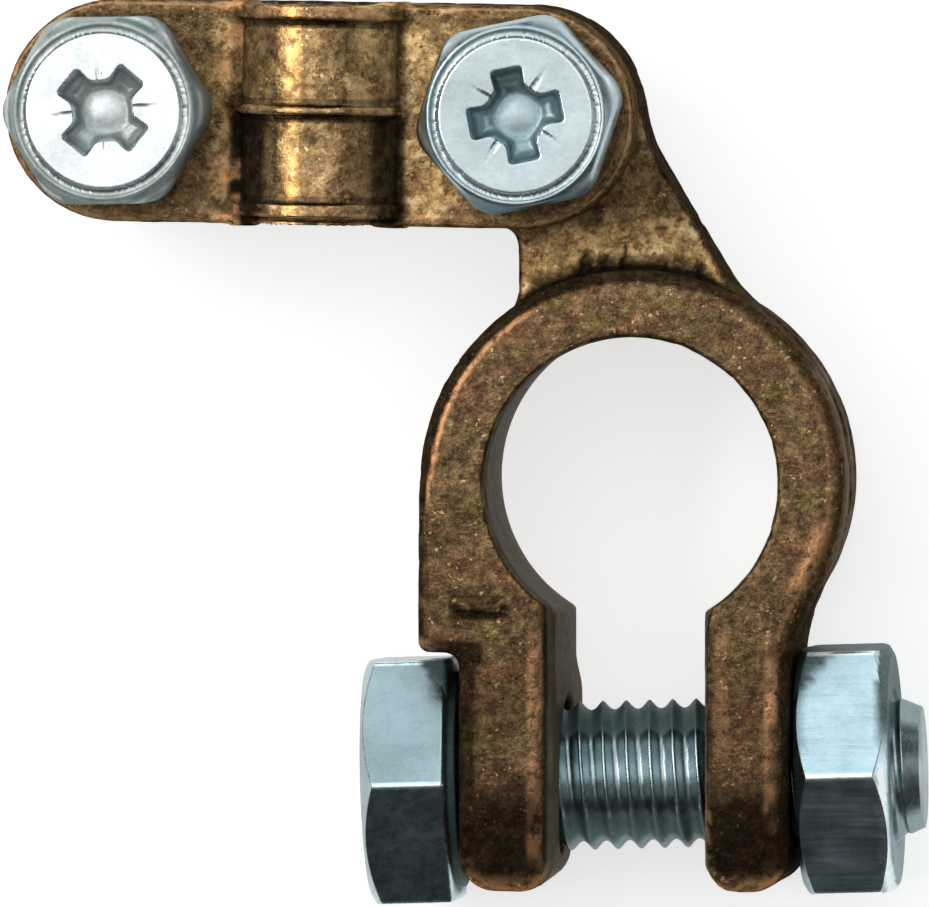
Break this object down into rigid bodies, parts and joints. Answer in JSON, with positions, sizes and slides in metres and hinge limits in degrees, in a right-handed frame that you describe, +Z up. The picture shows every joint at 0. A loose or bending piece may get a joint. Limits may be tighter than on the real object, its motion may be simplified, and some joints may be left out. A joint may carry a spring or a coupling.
{
  "type": "battery terminal clamp",
  "caption": "Battery terminal clamp: a split tapered ring tightened round the post by a bolt and nut across two lugs, with an arm to a bolted cable saddle and cap.",
  "frame": {"origin": "on the axis of the tapered post bore, in the plane of the clamp's bottom face", "axes": "+Z up along the post bore, out of its narrow end; +Y from the lugs towards the cable saddle; +X from the bolt's head towards its nut"},
  "size_m": [0.049, 0.0486, 0.0183],
  "materials": {
    "cast_brass": "as-cast brass, tarnished brown, brighter on worn edges",
    "zinc_steel": "bright bluish zinc plating"
  },
  "bodies": {
    "clamp_body": {"clamp_body": "cast_brass"},
    "cable_cap": {"cable_cap": "cast_brass"},
    "cap_screw_left": {"cap_screw_left": "zinc_steel"},
    "cap_screw_right": {"cap_screw_right": "zinc_steel"},
    "clamp_bolt": {"clamp_bolt": "zinc_steel"},
    "clamp_nut": {"clamp_nut": "zinc_steel"}
  },
  "joints": [
    {"name": "nut_spin", "type": "hinge", "parent": "clamp_body", "child": "clamp_nut", "pos_m": [0, -0.01575, 0.0076], "axis": [0.9996, 0.0297, 0], "range_deg": [0, 1440]},
    {"name": "bolt_slide", "type": "slide", "parent": "clamp_body", "child": "clamp_bolt", "axis": [-0.9996, -0.0297, 0], "range_m": [0, 0.005]},
    {"name": "cap_lift", "type": "slide", "parent": "clamp_body", "child": "cable_cap", "axis": [0, 0, 1], "range_m": [0, 0.005]},
    {"name": "screw_left_spin", "type": "hinge", "parent": "cable_cap", "child": "cap_screw_left", "pos_m": [-0.0279, 0.01993, 0.0143], "axis": [0, 0, 1], "range_deg": [0, 1800]},
    {"name": "screw_right_spin", "type": "hinge", "parent": "cable_cap", "child": "cap_screw_right", "pos_m": [-0.00586, 0.01973, 0.0143], "axis": [0, 0, 1], "range_deg": [0, 1800]}
  ],
  "couplings": [
    {"joint": "nut_spin", "follows": "bolt_slide", "rad_per_m": 5026.5},
    {"joint": "screw_left_spin", "follows": "cap_lift", "rad_per_m": 6283.2},
    {"joint": "screw_right_spin", "follows": "cap_lift", "rad_per_m": 6283.2}
  ]
}
